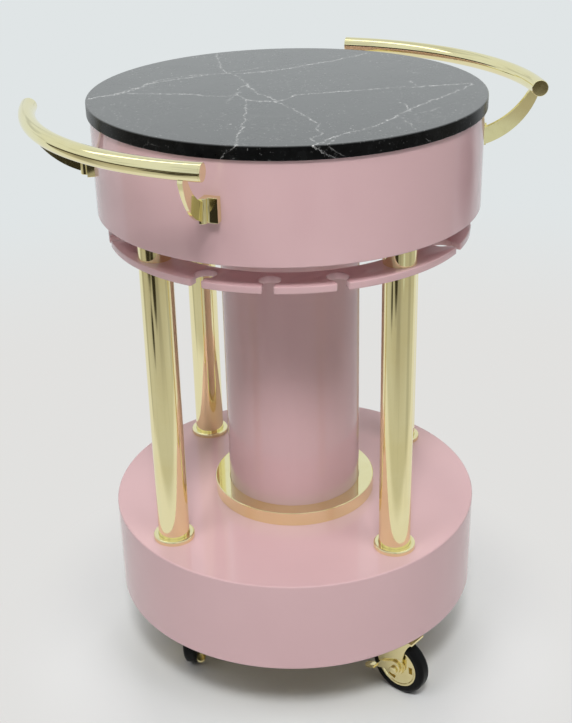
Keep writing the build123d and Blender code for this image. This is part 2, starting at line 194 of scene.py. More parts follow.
def pinkLacquer():
    look = lacquerLook
    material, web = newFinish("pinkLacquer")
    place = web.place()
    cloud = web.noise(place, *look["cloud"])
    wipe = web.noise(web.stretched(place, look["wipeStretch"]), *look["wipe"])
    peel = web.noise(place, *look["peel"])
    grain = web.noise(place, *look["grain"])
    web.close(web.node("ShaderNodeBsdfPrincipled", None, {
        "Base Color": web.blend(web.steps(cloud, *look["cloudEdges"]), look["pink"], look["deep"]),
        "Roughness": look["roughness"] + look["wipeRough"] * wipe + look["grainRough"] * grain,
        "IOR": look["ior"],
        "Normal": web.bump(peel, *look["peelBump"]),
    }))
    return material


brassTones = {
    "polished": {"pale": rgb(0.94, 0.87, 0.53), "deep": rgb(0.91, 0.82, 0.46), "roughness": 0.05},
    "cast": {"pale": rgb(0.90, 0.80, 0.45), "deep": rgb(0.82, 0.70, 0.36), "roughness": 0.11},
}
brassLook = {
    "cloud": (9.0, 4.0, 0.6),
    "filmEdges": (0.35, 0.75),
    "lines": (900.0, 2.0, 0.5),  # polishing lines run up and down
    "lineStretch": (1, 1, 0.02),
    "lineRough": 0.025,
    "lineBump": (0.02, 0.00002),
    "prints": (55.0, 3.0, 0.7),
    "printEdges": (0.45, 0.8),
    "printRough": 0.05,
}


def brass(kind):
    look, tones = brassLook, brassTones[kind]
    material, web = newFinish(kind + "Brass")
    place = web.place()
    film = web.steps(web.noise(place, *look["cloud"]), *look["filmEdges"])
    lines = web.noise(web.stretched(place, look["lineStretch"]), *look["lines"])
    prints = web.steps(web.noise(place, *look["prints"]), *look["printEdges"])
    web.close(web.node("ShaderNodeBsdfPrincipled", None, {
        "Base Color": web.blend(film, tones["pale"], tones["deep"]),
        "Metallic": 1.0,
        "Roughness": tones["roughness"] + look["printRough"] * prints + look["lineRough"] * lines,
        "Normal": web.bump(lines, *look["lineBump"]),
    }))
    return material


# Veins as they cross the slab, in millimetres, with their width and brightness
veinPaths = {
    "long": {"path": [(-250, 164), (-193, 160), (-111, 180), (-28, 168), (30, 132), (107, 113), (187, 107),
                      (262, 112)], "width": 2.2, "bright": 1.0},
    "cross": {"path": [(76, 286), (42, 233), (3, 163), (3, 130), (-23, 70), (-52, -40), (-78, -146),
                       (-90, -182), (-110, -200), (-116, -220), (-143, -228), (-150, -255)],
              "width": 1.6, "bright": 0.85},
    "front": {"path": [(-23, 70), (-62, 40), (-85, -9), (-138, -79), (-178, -122), (-216, -164),
                       (-242, -194)], "width": 1.5, "bright": 0.85},
    "right": {"path": [(-170, -258), (-141, -251), (-103, -244), (-42, -241), (53, -213), (103, -199),
                       (167, -185), (235, -162)], "width": 1.7, "bright": 0.95},
    "faintLeft": {"path": [(-192, 159), (-160, 121), (-122, 80), (-94, 39), (-60, 37)],
                  "width": 2.0, "bright": 0.75},
    "faintRight": {"path": [(-80, -5), (-52, -40), (-2, -34), (28, -51), (85, -76), (161, -119), (234, -161)],
                   "width": 2.0, "bright": 0.95},
    "longTwin": {"path": [(-214, 158), (-150, 176), (-108, 190), (-60, 186), (-26, 170)],
                 "width": 1.8, "bright": 0.8},
    "twigLow": {"path": [(19, -223), (14, -243), (-10, -290)], "width": 1.3, "bright": 0.5},
    "twigHook": {"path": [(53, -213), (66, -197), (74, -171)], "width": 1.5, "bright": 0.8},
    "twigFar": {"path": [(161, -119), (170, -100), (175, -87)], "width": 1.4, "bright": 0.7},
    "twigEdge": {"path": [(-85, -249), (-103, -244), (-124, -253), (-155, -268)],
                 "width": 1.5, "bright": 0.6},
    "twigMiddle": {"path": [(-113, -1), (-86, 22), (-60, 38)], "width": 1.4, "bright": 0.6},
    "twigSide": {"path": [(48, -212), (60, -232), (95, -231)], "width": 1.3, "bright": 0.45},
    "twigBranch": {"path": [(3, 163), (45, 150), (70, 152)], "width": 1.8, "bright": 0.6},
    "twigStart": {"path": [(-52, -40), (-70, -22), (-84, 4)], "width": 2.0, "bright": 0.8},
}
stoneLook = {
    "black": rgb(0.0025, 0.0026, 0.0029),
    "grey": rgb(0.0075, 0.008, 0.0085),
    "white": rgb(0.62, 0.62, 0.61),
    "cloud": (30.0, 5.0, 0.65),
    "cloudEdges": (0.35, 0.75),
    "wander": (42.0, 6.0, 0.7),  # how the veins stray, by up to ragged and splinter millimetres
    "ragged": 11.0,
    "crack": (230.0, 2.0, 0.5),
    "splinter": 4.0,
    "broken": (95.0, 4.0, 0.75),
    "brokenEdges": (0.42, 0.6),
    "brokenLeast": 0.12,
    "tip": 4.0,  # length over which a vein's end fades, millimetres
    "crumb": (170.0, 3.0, 0.7),  # white crumbs along a vein
    "crumbEdges": (0.56, 0.68),
    "crumbReach": 7.0,
    "crumbBright": 0.55,
    "faceEdges": (-0.0018, -0.0002),  # depth below the face at which the slab's edge starts, metres
    "lean": 0.9,  # slant of the veins down the slab's edge
    "leanEdges": (-0.24, -0.16),  # where it changes sides, metres
    "edgeBright": 0.45,
    "cellScale": 17.0,  # hairlines
    "hairWidth": 0.014,
    "hairBright": 0.16,
    "patch": (14.0, 2.0, 0.5),
    "patchEdges": (0.56, 0.72),
    "fleck": (260.0, 2.0, 0.6),
    "fleckEdges": (0.65, 0.75),
    "field": (9.0, 2.0, 0.5),  # where the flecks gather
    "fieldEdges": (0.4, 0.58),
    "fleckBright": (0.15, 0.55),  # on the slab's edge, and added on its face
    "roughness": 0.24,
    "cloudRough": 0.06,
    "veinRough": 0.1,
    "ior": 1.2,
    "coatWear": 0.3,
    "coatRoughness": 0.28,
    "coatIor": 1.73,
    "grain": (500.0, 3.0, 0.5),
    "grainBump": (0.05, 0.00005),
}


def vein(web, across, along, crumbs, path, width):
    look = stoneLook
    start = Vector(path[0]) * mm
    run = Vector(path[-1]) * mm - start
    heading = run.normalized()
    normal = Vector((-heading.y, heading.x))
    offsets = [Vector(spot) * mm - start for spot in path]
    spots = sorted((offset.dot(heading) / run.length, offset.dot(normal)) for offset in offsets)
    reach = max(abs(swing) for part, swing in spots) + mm
    bends = [(part, 0.5 + 0.5 * swing / reach) for part, swing in spots]
    step = (across * heading.x + along * heading.y - start.dot(heading)) / run.length
    drift = across * normal.x + along * normal.y - start.dot(normal)
    bend = web.node("ShaderNodeFloatCurve", {"bends": bends}, {"Value": step})
    gap = abs(drift - (bend - 0.5) * (2 * reach))
    ends = web.fades(abs(step - 0.5), 0.5, 0.5 + look["tip"] * mm / run.length)
    beside = web.fades(gap, 0.0, look["crumbReach"] * mm) * crumbs
    return web.fades(gap, 0.0, width * mm).most(beside) * ends


def blackMarble():
    look = stoneLook
    material, web = newFinish("blackMarble")
    place = web.place()
    wander = web.noise(place, *look["wander"]).out("Color")
    crack = web.noise(place, *look["crack"]).out("Color")
    bent = web.shifted(web.shifted(place, wander, look["ragged"] * 2 * mm), crack, look["splinter"] * 2 * mm)
    split = web.split(bent)
    drop = web.split(place).out("Z") - span("marble_top")[1] * mm
    top = web.steps(drop, *look["faceEdges"])
    slant = web.steps(split.out("X"), *look["leanEdges"], -look["lean"], look["lean"]) * drop
    across = split.out("X") + slant
    along = split.out("Y") - slant
    broken = web.steps(web.noise(place, *look["broken"]), *look["brokenEdges"])
    crumbs = web.steps(web.noise(place, *look["crumb"]), *look["crumbEdges"]) * look["crumbBright"]
    white = None
    for one in veinPaths.values():
        line = vein(web, across, along, crumbs, one["path"], one["width"]) * one["bright"]
        white = line if white is None else white.most(line)
    white = white * (look["brokenLeast"] + (1.0 - look["brokenLeast"]) * broken)
    white = white * (look["edgeBright"] + (1.0 - look["edgeBright"]) * top)
    cells = web.node("ShaderNodeTexVoronoi", {"feature": "DISTANCE_TO_EDGE"},
                     {"Vector": bent, "Scale": look["cellScale"]})
    patches = web.steps(web.noise(place, *look["patch"]), *look["patchEdges"])
    hair = web.fades(cells, 0.0, look["hairWidth"]) * patches * look["hairBright"]
    field = web.steps(web.noise(place, *look["field"]), *look["fieldEdges"])
    edgeFleck, faceFleck = look["fleckBright"]
    fleck = web.steps(web.noise(place, *look["fleck"]), *look["fleckEdges"])
    fleck = fleck * field * (edgeFleck + faceFleck * top)
    cloud = web.steps(web.noise(place, *look["cloud"]), *look["cloudEdges"])
    light = white.most(hair).most(fleck)
    ground = web.blend(cloud, look["black"], look["grey"])
    web.close(web.node("ShaderNodeBsdfPrincipled", None, {
        "Base Color": web.blend(light, ground, look["white"]),
        "Roughness": look["roughness"] + look["cloudRough"] * cloud + look["veinRough"] * light,
        "IOR": look["ior"],
        "Coat Weight": (1.0 - look["coatWear"] * light) * top,  # the face is sealed, the edge isn't
        "Coat Roughness": look["coatRoughness"],
        "Coat IOR": look["coatIor"],
        "Normal": web.bump(web.noise(place, *look["grain"]), *look["grainBump"]),
    }))
    return material


rubberLook = {
    "black": rgb(0.003, 0.003, 0.0032),
    "dusty": rgb(0.009, 0.0088, 0.0085),
    "dust": (60.0, 4.0, 0.7),
    "dustEdges": (0.5, 0.8),
    "dustShare": 0.55,
    "roughness": 0.3,
    "dustRough": 0.22,
    "pores": (1500.0, 2.0, 0.5),
    "poreRough": 0.06,
    "poreBump": (0.15, 0.00008),
    "ior": 1.2,
}


def tyreRubber():
    look = rubberLook
    material, web = newFinish("tyreRubber")
    place = web.place()
    dust = web.steps(web.noise(place, *look["dust"]), *look["dustEdges"])
    pores = web.noise(place, *look["pores"])
    web.close(web.node("ShaderNodeBsdfPrincipled", None, {
        "Base Color": web.blend(dust * look["dustShare"], look["black"], look["dusty"]),
        "Roughness": look["roughness"] + look["dustRough"] * dust + look["poreRough"] * pores,
        "IOR": look["ior"],
        "Normal": web.bump(pores, *look["poreBump"]),
    }))
    return material


steelLook = {
    "bright": rgb(0.66, 0.66, 0.65),
    "dull": rgb(0.50, 0.50, 0.48),
    "spangleScale": 240.0,
    "spangleShare": 0.5,
    "scuff": (130.0, 4.0, 0.7),
    "scuffShare": 0.4,
    "roughness": 0.3,
    "scuffRough": 0.1,
    "spangleRough": 0.05,
    "scuffBump": (0.1, 0.00005),
}


def zincSteel():
    look = steelLook
    material, web = newFinish("zincSteel")
    place = web.place()
    cells = web.node("ShaderNodeTexVoronoi", None, {"Vector": place, "Scale": look["spangleScale"]})
    spangle = web.split(cells.out("Color"))
    scuff = web.noise(place, *look["scuff"])
    tone = spangle * look["spangleShare"] + scuff * look["scuffShare"]
    web.close(web.node("ShaderNodeBsdfPrincipled", None, {
        "Base Color": web.blend(tone, look["bright"], look["dull"]),
        "Metallic": 1.0,
        "Roughness": look["roughness"] + look["scuffRough"] * scuff + look["spangleRough"] * spangle,
        "Normal": web.bump(scuff, *look["scuffBump"]),
    }))
    return material


plyLook = {
    "pale": rgb(0.74, 0.66, 0.54),
    "dark": rgb(0.58, 0.48, 0.36),
    "grain": (9.0, 5.0, 0.65),
    "grainStretch": (1, 12, 12),
    "grainEdges": (0.35, 0.68),
    "grainShare": 0.7,
    "fibre": (40.0, 3.0, 0.6),
    "fibreStretch": (1, 30, 30),
    "fibreShare": 0.3,
    "roughness": 0.55,
    "fibreRough": 0.15,
    "fibreBump": (0.2, 0.0002),
}


def plywood():
    look = plyLook
    material, web = newFinish("plywood")
    place = web.place()
    grain = web.noise(web.stretched(place, look["grainStretch"]), *look["grain"])
    fibre = web.noise(web.stretched(place, look["fibreStretch"]), *look["fibre"])
    tone = web.steps(grain, *look["grainEdges"]) * look["grainShare"] + fibre * look["fibreShare"]
    web.close(web.node("ShaderNodeBsdfPrincipled", None, {
        "Base Color": web.blend(tone, look["pale"], look["dark"]),
        "Roughness": look["roughness"] + look["fibreRough"] * fibre,
        "Normal": web.bump(fibre, *look["fibreBump"]),
    }))
    return material


lacquer = pinkLacquer()
polished = brass("polished")
cast = brass("cast")
marble = blackMarble()
rubber = tyreRubber()
slotFinish = {"lacquer": lacquer, "brass": cast, "black_marble": marble, "panel": plywood(),
              "steel": zincSteel(), "rubber": rubber}
print("finishes made:", len(slotFinish))


def softCorners(corners, arcSteps=5, support=0.4):  # closed outline of (x, y, ease), in millimetres
    points = []
    for index, (x, y, ease) in enumerate(corners):
        here = Vector((x, y))
        if not ease:
            points.append(here)
            continue
        before = (Vector(corners[index - 1][:2]) - here).normalized()
        after = (Vector(corners[(index + 1) % len(corners)][:2]) - here).normalized()
        half = before.angle(after) / 2
        cut = ease / math.tan(half)
        middle = here + (before + after).normalized() * (ease / math.sin(half))
        first, last = here + before * cut - middle, here + after * cut - middle
        turn = first.angle_signed(last)
        points.append(here + before * (cut + support))
        for step in range(arcSteps + 1):
            points.append(middle + Matrix.Rotation(-turn * step / arcSteps, 2) @ first)
        points.append(here + after * (cut + support))
    return points


def spin(outline, turns=256):  # revolves a closed outline of (radius, height) about the Z axis
    mesh = bmesh.new()
    rings = []
    poles = {}
    for turn in range(turns):
        angle = math.tau * turn / turns
        ring = []
        for index, (radius, height) in enumerate(outline):
            if radius > 0:
                spot = (radius * math.cos(angle) * mm, radius * math.sin(angle) * mm, height * mm)
                ring.append(mesh.verts.new(spot))
            else:
                if index not in poles:
                    poles[index] = mesh.verts.new((0, 0, height * mm))
                ring.append(poles[index])
        rings.append(ring)
    for turn in range(turns):
        ring, ahead = rings[turn], rings[(turn + 1) % turns]
        for index in range(len(outline)):
            other = (index + 1) % len(outline)
            corners = []
            for vert in (ring[index], ahead[index], ahead[other], ring[other]):
                if vert not in corners:
                    corners.append(vert)
            if len(corners) > 2:
                mesh.faces.new(corners)
    return mesh


sharpAngle = math.radians(40)  # edges that turn less than this are shaded smooth


def addPiece(name, mesh, material, body, nodes):
    bmesh.ops.recalc_face_normals(mesh, faces=mesh.faces)
    for face in mesh.faces:
        face.smooth = True
    for edge in mesh.edges:
        edge.smooth = len(edge.link_faces) != 2 or edge.calc_face_angle() < sharpAngle
    data = bpy.data.meshes.new(name)
    mesh.to_mesh(data)
    mesh.free()
    data.materials.append(material)
    piece = bpy.data.objects.new(name, data)
    bpy.context.scene.collection.objects.link(piece)
    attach(piece, body)
    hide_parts(*nodes)
    return piece


def moved(mesh, matrix):
    bmesh.ops.transform(mesh, matrix=matrix, verts=mesh.verts)
    return mesh


def turned(degrees, axis):
    return Matrix.Rotation(math.radians(degrees), 4, axis)


def joined(meshes):
    whole = bmesh.new()
    for mesh in meshes:
        scratch = bpy.data.meshes.new("scratch")
        mesh.to_mesh(scratch)
        mesh.free()
        whole.from_mesh(scratch)
        bpy.data.meshes.remove(scratch)
    return whole


slabSize = {"radius": 304.0, "ease": 1.6}
drumSize = {"radius": 300.0, "wall": 12.0, "ease": 2.0, "hiddenEase": 0.5}


def slab():
    radius, ease = slabSize["radius"], slabSize["ease"]
    low, high = span("marble_top")
    outline = softCorners([(0, low, 0), (radius, low, ease), (radius, high, ease), (0, high, 0)])
    addPiece("slab", spin(outline), marble, "cart", ["marble_top"])


def drum():
    size = drumSize
    radius, hidden = size["radius"], size["hiddenEase"]
    inner = radius - size["wall"]
    low, high = span("drum_shell")
    outline = softCorners([(inner, low, hidden), (radius, low, size["ease"]), (radius, high, hidden),
                           (inner, high, hidden)])
    addPiece("drum", spin(outline), lacquer, "cart", ["drum_shell"])


slab()
drum()
print("top made")

ringSize = {"outer": 286.0, "inner": 229.0, "ease": 1.5, "holeCircle": 258.0, "hole": 16.0, "neck": 16.5,
            "group": 45.0, "step": 21.5, "mouth": 2.5, "holeSteps": 40, "mouthSteps": 4, "rimSteps": 4,
            "innerSteps": 256, "easeSteps": 3, "weld": 0.01}  # group and step are degrees


def arcPoints(centre, radius, start, end, count):
    angles = [math.radians(start + (end - start) * step / count) for step in range(count + 1)]
    return [Vector((centre[0] + radius * math.cos(angle), centre[1] + radius * math.sin(angle)))
            for angle in angles]


def ringOutline():  # rim with its keyholes, as one closed line
    size = ringSize
    halfNeck = size["neck"] / 2
    mouth = math.degrees(math.asin((halfNeck + size["mouth"]) / size["outer"]))
    enter = math.degrees(math.asin(halfNeck / size["hole"]))
    lip = math.sqrt((size["outer"] - size["mouth"]) ** 2 - halfNeck ** 2)
    corner = arcPoints((lip, -halfNeck - size["mouth"]), size["mouth"], 0, 90, size["mouthSteps"])
    far = [Vector((p.x, -p.y)) for p in reversed(corner)]
    hole = arcPoints((size["holeCircle"], 0), size["hole"], 360 - enter, enter, size["holeSteps"])
    middles = sorted((base + size["group"] + offset) % 360 for base in sides.values()
                     for offset in (-size["step"], 0, size["step"]))
    points = []
    for middle, ahead in zip(middles, middles[1:] + [middles[0] + 360]):
        turn = Matrix.Rotation(math.radians(middle), 2)
        points += [turn @ p for p in corner + hole + far]
        start, end = middle + mouth, ahead - mouth
        count = max(size["rimSteps"], int(end - start))  # about one to a degree
        points += arcPoints((0, 0), size["outer"], start, end, count)[1:-1]
    return points


def stemRing():
    size = ringSize
    low, high = span("stemware_ring")
    curve = bpy.data.curves.new("stemRing", "CURVE")
    curve.dimensions = "2D"
    curve.fill_mode = "BOTH"
    inner = arcPoints((0, 0), size["inner"], 0, 360, size["innerSteps"])[:-1]
    for line in (ringOutline(), inner):
        spline = curve.splines.new("POLY")
        spline.points.add(len(line) - 1)
        for point, place in zip(spline.points, line):
            point.co = (place.x * mm, place.y * mm, 0, 1)
        spline.use_cyclic_u = True
    curve.extrude = ((high - low) / 2 - size["ease"]) * mm
    curve.bevel_depth = size["ease"] * mm
    curve.bevel_resolution = size["easeSteps"]
    curve.offset = -size["ease"] * mm
    holder = bpy.data.objects.new("stemRingLine", curve)
    bpy.context.scene.collection.objects.link(holder)
    bpy.context.view_layer.update()
    data = bpy.data.meshes.new_from_object(holder.evaluated_get(bpy.context.evaluated_depsgraph_get()))
    bpy.data.objects.remove(holder)
    mesh = bmesh.new()
    mesh.from_mesh(data)
    bpy.data.meshes.remove(data)
    bmesh.ops.remove_doubles(mesh, verts=mesh.verts, dist=size["weld"] * mm)
    moved(mesh, Matrix.Translation((0, 0, (low + high) / 2 * mm)))
    addPiece("stemRing", mesh, lacquer, "cart", ["stemware_ring"])


stemRing()
print("stemware ring made")

columnSize = {"circle": 255.0, "radius": 25.4, "wall": 1.6, "endEase": 0.4, "boreEase": 0.3, "endSteps": 3,
              "collar": 33.5, "collarEase": 2.5, "collarFoot": 0.4, "collarLip": 0.6, "collarSteps": 6,
              "play": 0.15, "turns": 128}


def columns():
    size = columnSize
    radius, collar, turns = size["radius"], size["collar"], size["turns"]
    bore, snug = radius - size["wall"], radius + size["play"]
    for side, azimuth in sides.items():
        angle = math.radians(azimuth)
        x, y = size["circle"] * math.cos(angle) * mm, size["circle"] * math.sin(angle) * mm
        spot = Matrix.Translation((x, y, 0))
        for name in ("column", "spacer"):
            low, high = span(name + "_" + side)
            outline = softCorners([(bore, low, size["boreEase"]), (radius, low, size["endEase"]),
                                   (radius, high, size["endEase"]), (bore, high, size["boreEase"])],
                                  size["endSteps"])
            addPiece(name + "Tube_" + side, moved(spin(outline, turns), spot), polished, "cart",
                     [name + "_" + side])
        low, high = span("collar_" + side)
        outline = softCorners([(snug, low, 0), (collar, low, size["collarFoot"]),
                               (collar, high, size["collarEase"]), (snug, high, size["collarLip"])],
                              size["collarSteps"])
        addPiece("columnCollar_" + side, moved(spin(outline, turns), spot), polished, "cart",
                 ["collar_" + side])


pedestalSize = {"radius": 112.3, "wall": 6.0, "ease": 0.5, "easeSteps": 3, "ringRadius": 137.3,
                "ringEase": 1.2, "ringFoot": 0.6, "ringLip": 0.5, "play": 0.15}


def pedestal():
    size = pedestalSize
    radius, ease = size["radius"], size["ease"]
    bore, snug = radius - size["wall"], radius + size["play"]
    low, high = span("pedestal_tube")
    outline = softCorners([(bore, low, ease), (radius, low, ease), (radius, high, ease), (bore, high, ease)],
                          size["easeSteps"])
    addPiece("pedestalTube", spin(outline), lacquer, "cart", ["pedestal_tube"])
    low, high = span("pedestal_ring")
    outline = softCorners([(snug, low, 0), (size["ringRadius"], low, size["ringFoot"]),
                           (size["ringRadius"], high, size["ringEase"]), (snug, high, size["ringLip"])])
    addPiece("footRing", spin(outline), polished, "cart", ["pedestal_ring"])


baseSize = {"radius": 309.0, "wall": 12.0, "ease": 2.5, "innerEase": 1.0}


def baseDrum():
    size = baseSize
    radius, ease = size["radius"], size["ease"]
    inner = radius - size["wall"]
    low, (under, high) = span("base_shell")[0], span("base_top")
    outline = softCorners([(inner, under, 0), (inner, low, size["innerEase"]), (radius, low, ease),
                           (radius, high, ease), (0, high, 0), (0, under, 0)])
    addPiece("baseDrum", spin(outline), lacquer, "cart", ["base_top", "base_shell"])


columns()
pedestal()
baseDrum()
print("columns, pedestal and base made")

handleSize = {"arc": 390.5, "tube": 12.7, "halfSpan": 35.5, "steps": 128, "spokes": 48, "cap": 2.5,
              "capEase": 0.8, "capFoot": 0.25, "capSteps": 4, "capSupport": 0.2,
              "capTurns": 64}  # halfSpan is in degrees


def handles():
    size = handleSize
    arc, tube, cap, steps, spokes = size["arc"], size["tube"], size["cap"], size["steps"], size["spokes"]
    reach = size["halfSpan"] - math.degrees(cap / arc)
    height = sum(span("left_handle_tube")) / 2
    capCorners = [(0, 0, 0), (tube, 0, size["capFoot"]), (tube, cap, size["capEase"]), (0, cap, 0)]
    capOutline = softCorners(capCorners, size["capSteps"], size["capSupport"])
    caps = []
    for side in ("left", "right"):
        mesh = bmesh.new()
        rings = []
        for step in range(steps + 1):
            turn = turned(sides[side] - reach + 2 * reach * step / steps, "Z")
            ring = []
            for spoke in range(spokes):
                angle = math.tau * spoke / spokes
                place = ((arc + tube * math.cos(angle)) * mm, 0, (height + tube * math.sin(angle)) * mm)
                ring.append(mesh.verts.new(turn @ Vector(place)))
            rings.append(ring)
        for ring, ahead in zip(rings, rings[1:]):
            for spoke in range(spokes):
                other = (spoke + 1) % spokes
                mesh.faces.new((ring[spoke], ring[other], ahead[other], ahead[spoke]))
        mesh.faces.new(rings[0])
        mesh.faces.new(rings[-1])
        addPiece(side + "Handle", mesh, polished, "cart", [side + "_handle_tube"])
        for sign in (1, -1):
            spot = (turned(sides[side] + sign * reach, "Z") @ Matrix.Translation((arc * mm, 0, height * mm))
                    @ turned(-90 * sign, "X"))
            caps.append(moved(spin(capOutline, size["capTurns"]), spot))
    addPiece("handleCaps", joined(caps), polished, "cart", ["handle_end_caps"])


handles()
print("handles made")

easeSize = {"bracket": 0.7, "disc": 0.4, "fork": 0.6, "pedal": 0.6, "weld": 0.002, "flat": 0.3, "corner": 38,
            "segments": 3}  # flat and corner are degrees


def easedCopy(name, node, kind, material, body):  # a solid of the frame with its edges softened
    size = easeSize
    mesh = bmesh.new()
    mesh.from_mesh(frame["nodes"][node].data)
    bmesh.ops.remove_doubles(mesh, verts=mesh.verts, dist=size["weld"] * mm)
    bmesh.ops.dissolve_limit(mesh, angle_limit=math.radians(size["flat"]), verts=mesh.verts, edges=mesh.edges)
    piece = addPiece(name, mesh, material, body, [node])
    bevel = piece.modifiers.new("ease", "BEVEL")
    bevel.width = size[kind] * mm
    bevel.segments = size["segments"]
    bevel.limit_method = "ANGLE"
    bevel.angle_limit = math.radians(size["corner"])
    bevel.harden_normals = True


for corner in ("left_front", "left_back", "right_front", "right_back"):
    easedCopy("bracket_" + corner + "_cast", "bracket_" + corner, "bracket", polished, "cart")

tyreSize = {"outer": 50.8, "inner": 37.0, "width": 24.0, "shoulder": 7.0, "lip": 1.5, "arcSteps": 10,
            "support": 0.3, "turns": 128}
axles = {joint["child"]: joint for joint in frame["record"]["behaviour"]["joints"]
         if joint["name"].startswith("roll_")}


def tyre(side):
    size = tyreSize
    half = size["width"] / 2
    outline = softCorners([(size["inner"], -half, size["lip"]), (size["outer"], -half, size["shoulder"]),
                           (size["outer"], half, size["shoulder"]), (size["inner"], half, size["lip"])],
                          size["arcSteps"], size["support"])
    axle = axles["wheel_" + side]
    lean = Vector((0, 0, 1)).rotation_difference(Vector(axle["axis"])).to_matrix().to_4x4()
    spot = Matrix.Translation(axle["pos_m"]) @ lean
    addPiece("tread_" + side, moved(spin(outline, size["turns"]), spot), rubber, "wheel_" + side,
             ["tyre_" + side])


for side in sides:
    tyre(side)
    easedCopy("wheelDisc_" + side, "wheel_hub_" + side, "disc", cast, "wheel_" + side)
    easedCopy("fork_" + side, "caster_fork_" + side, "fork", cast, "fork_" + side)
    easedCopy("pedal_" + side, "brake_lever_" + side, "pedal", cast, "brake_" + side)
print("brackets and casters made")

for row in frame["record"]["subparts"]:
    node = frame["nodes"][row["node"]]
    node.data.materials.clear()
    node.data.materials.append(slotFinish[row["material_slot"]])

cameraPlace = {"stand": (-1185.9, -1490.9, 1439.7), "azimuth": -38.5, "pan": 0.0055, "pitch": 0.4494,
               "roll": -0.023, "focal": 1261.0, "tall": 723.0}  # millimetres, degrees, radians and pixels
toCamera = (-0.6225, -0.7826)  # from the cart, over the floor
stageLook = {
    "floor": rgb(0.690, 0.700, 0.700),
    "worn": rgb(0.665, 0.675, 0.675),
    "wear": (2.5, 4.0, 0.5),
    "wearEdges": (0.3, 0.8),
    "wearShare": 0.35,
    "size": 80,  # metres, as are edge and far
    "pale": rgb(0.757, 0.752, 0.738),  # the floor beyond the shadow
    "backdrop": rgb(0.745, 0.783, 0.791),
    "edge": (0.32, 0.56),  # where the lit floor ends
    "far": (1.2, 2.6),  # where the floor takes the backdrop's tone
    "fill": 0.03,  # light from all round
}
paintedReflectionLook = {  # painted reflections: tones that the floor and backdrop show only in polished metal, with reaches in metres
    # dark is the painted shade and pale a painted lighter patch in these reflections
    "dark": rgb(0.03, 0.026, 0.018),
    "pale": rgb(0.61, 0.65, 0.62),
    # the stops paint the floor's reflection darker with distance towards the camera
    "stops": [(0.0, rgb(0.78, 0.78, 0.77)), (0.126, rgb(0.76, 0.75, 0.73)), (0.143, rgb(0.57, 0.56, 0.51)),
              (0.185, rgb(0.57, 0.56, 0.51)), (0.24, rgb(0.50, 0.48, 0.42)), (0.335, rgb(0.46, 0.44, 0.38)),
              (0.638, rgb(0.36, 0.34, 0.29)), (0.647, rgb(0.07, 0.06, 0.04))],
    "reach": 6.0,  # the distance at which a stop would be 1
    "sideways": 0.7,
    "edge": (0.30, 0.44),
    "dimSlope": 0.5,
    "dimEdges": (0.5, 0.7),  # the stops hold on the camera's side only
    "streak": (2.8, 2.0, 0.5),  # painted reflection: dark streaks in the floor as polished metal sees it, running outwards
    "streakEdges": (0.5, 0.64),
    "streakStart": (0.7, 1.4),
    "streakShare": 0.22,
    "shadeAside": (0.2, 0.4),  # painted reflection: a darker strip of floor under the camera, seen only in polished metal
    "shadeAhead": (1.1, 1.9),
    "shadeShare": 0.3,
    "band": (1.3, 1.5, 0.5),  # painted reflection: dark bands round the backdrop, seen only in polished metal
    "bandStretch": (1.8, 1.8, 4.5),
    "bandEdges": (0.52, 0.66),
    "bandShare": 0.24,
    "duskAside": (0.08, 0.17),  # painted shade in the reflection of the backdrop behind the camera, as parts of a direction
    "duskAhead": (0.3, 0.6),
    "duskHeight": (0.1, 0.3),
    "duskShare": 0.8,
}
paintedReflectionPatches = {  # painted reflections: dark and pale patches of the floor seen only in polished metal; middle, inner and outer reach in metres, and tone
    "right": ((3.05, -0.5, 0), (0.3, 1.0), "dark"),
    "left": ((-3.0, -0.5, 0), (0.8, 1.1), "dark"),
    "ahead": ((-1.82, -1.16, 0), (0.28, 0.5), "dark"),
    "beside": ((-1.75, -0.22, 0), (0.08, 0.3), "dark"),
    "behind": ((-1.5, -2.55, 0), (0.25, 0.45), "dark"),
    "beyond": ((-0.5, -3.0, 0), (0.05, 0.38), "dark"),
    "lighter": ((-0.52, -2.2, 0), (0.15, 0.25), "pale"),
}


def facing(web, place):  # how far towards the camera a place lies, and how far to either side
    split = web.split(place)
    forward = split.out("X") * toCamera[0] + split.out("Y") * toCamera[1]
    return forward, abs(split.out("X") * toCamera[1] - split.out("Y") * toCamera[0])


def rays(web):  # rays that see the pale backdrop, and those among them from polished surfaces
    ray = web.node("ShaderNodeLightPath")
    glossy = ray.out("Is Glossy Ray")
    return ray.out("Is Camera Ray").most(glossy).most(ray.out("Is Transmission Ray")), glossy


